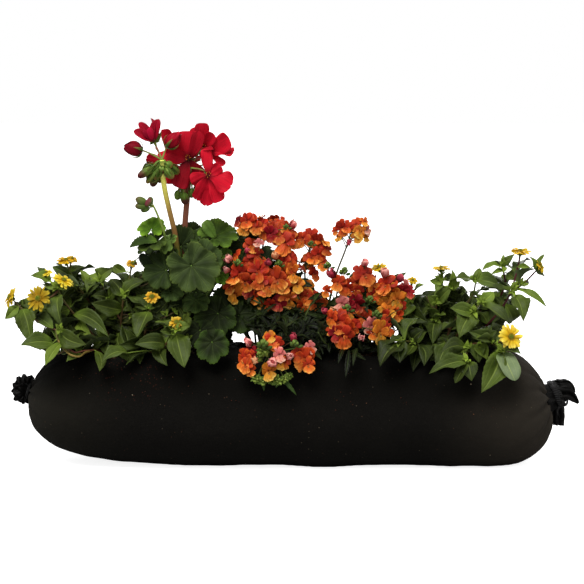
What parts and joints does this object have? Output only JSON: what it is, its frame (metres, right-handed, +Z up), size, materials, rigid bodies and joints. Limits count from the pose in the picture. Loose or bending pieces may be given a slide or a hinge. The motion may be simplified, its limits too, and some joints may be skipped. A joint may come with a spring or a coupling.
{
  "type": "planted window box",
  "caption": "Soft black fabric sleeve of potting soil, tied at both ends, planted along its top with creeping zinnia, red pelargonium and orange nemesia.",
  "frame": {"origin": "on the flat underside of the sleeve, at the middle of its length and depth", "axes": "+X along the sleeve towards the end with the hanging tail of fabric, +Y from the front to the back, +Z up"},
  "size_m": [0.654, 0.172, 0.3931],
  "materials": {
    "sleeve_fabric": "matte",
    "soil": "matte",
    "tie_cord": "matte",
    "crimson_petal": "satin",
    "pelargonium_leaf": "matte",
    "pelargonium_stem": "satin",
    "orange_petal": "satin",
    "nemesia_leaf": "satin",
    "golden_petal": "satin",
    "sanvitalia_leaf": "satin"
  },
  "bodies": {
    "root": {"nemesia_foliage_left": "nemesia_leaf", "nemesia_foliage_middle": "nemesia_leaf", "nemesia_foliage_right": "nemesia_leaf", "nemesia_raceme_01": "orange_petal", "nemesia_raceme_02": "orange_petal", "nemesia_raceme_03": "orange_petal", "nemesia_raceme_04": "orange_petal", "nemesia_raceme_05": "orange_petal", "nemesia_raceme_06": "orange_petal", "nemesia_raceme_07": "orange_petal", "nemesia_raceme_08": "orange_petal", "nemesia_raceme_09": "orange_petal", "nemesia_raceme_10": "orange_petal", "nemesia_raceme_11": "orange_petal", "pelargonium_floret_1": "crimson_petal", "pelargonium_floret_2": "crimson_petal", "pelargonium_floret_3": "crimson_petal", "pelargonium_floret_4": "crimson_petal", "pelargonium_floret_5": "crimson_petal", "pelargonium_floret_6": "crimson_petal", "pelargonium_leaf_01": "pelargonium_leaf", "pelargonium_leaf_02": "pelargonium_leaf", "pelargonium_leaf_03": "pelargonium_leaf", "pelargonium_leaf_04": "pelargonium_leaf", "pelargonium_leaf_05": "pelargonium_leaf", "pelargonium_leaf_06": "pelargonium_leaf", "pelargonium_leaf_07": "pelargonium_leaf", "pelargonium_leaf_08": "pelargonium_leaf", "pelargonium_leaf_09": "pelargonium_leaf", "pelargonium_leaf_10": "pelargonium_leaf", "pelargonium_stalk_budding": "pelargonium_stem", "pelargonium_stalk_open": "pelargonium_stem", "pelargonium_stem": "pelargonium_stem", "planter_sleeve": "sleeve_fabric", "potting_soil": "soil", "sanvitalia_left_flower_1": "golden_petal", "sanvitalia_left_flower_2": "golden_petal", "sanvitalia_left_flower_3": "golden_petal", "sanvitalia_left_flower_4": "golden_petal", "sanvitalia_left_flower_5": "golden_petal", "sanvitalia_left_flower_6": "golden_petal", "sanvitalia_left_shoot_1": "sanvitalia_leaf", "sanvitalia_left_shoot_2": "sanvitalia_leaf", "sanvitalia_left_shoot_3": "sanvitalia_leaf", "sanvitalia_left_shoot_4": "sanvitalia_leaf", "sanvitalia_left_shoot_5": "sanvitalia_leaf", "sanvitalia_left_shoot_6": "sanvitalia_leaf", "sanvitalia_right_flower_1": "golden_petal", "sanvitalia_right_flower_2": "golden_petal", "sanvitalia_right_flower_3": "golden_petal", "sanvitalia_right_flower_4": "golden_petal", "sanvitalia_right_flower_5": "golden_petal", "sanvitalia_right_shoot_1": "sanvitalia_leaf", "sanvitalia_right_shoot_2": "sanvitalia_leaf", "sanvitalia_right_shoot_3": "sanvitalia_leaf", "sanvitalia_right_shoot_4": "sanvitalia_leaf", "sanvitalia_right_shoot_5": "sanvitalia_leaf", "sanvitalia_right_shoot_6": "sanvitalia_leaf", "tie_cord_left": "tie_cord", "tie_cord_right": "tie_cord"}
  },
  "joints": []
}
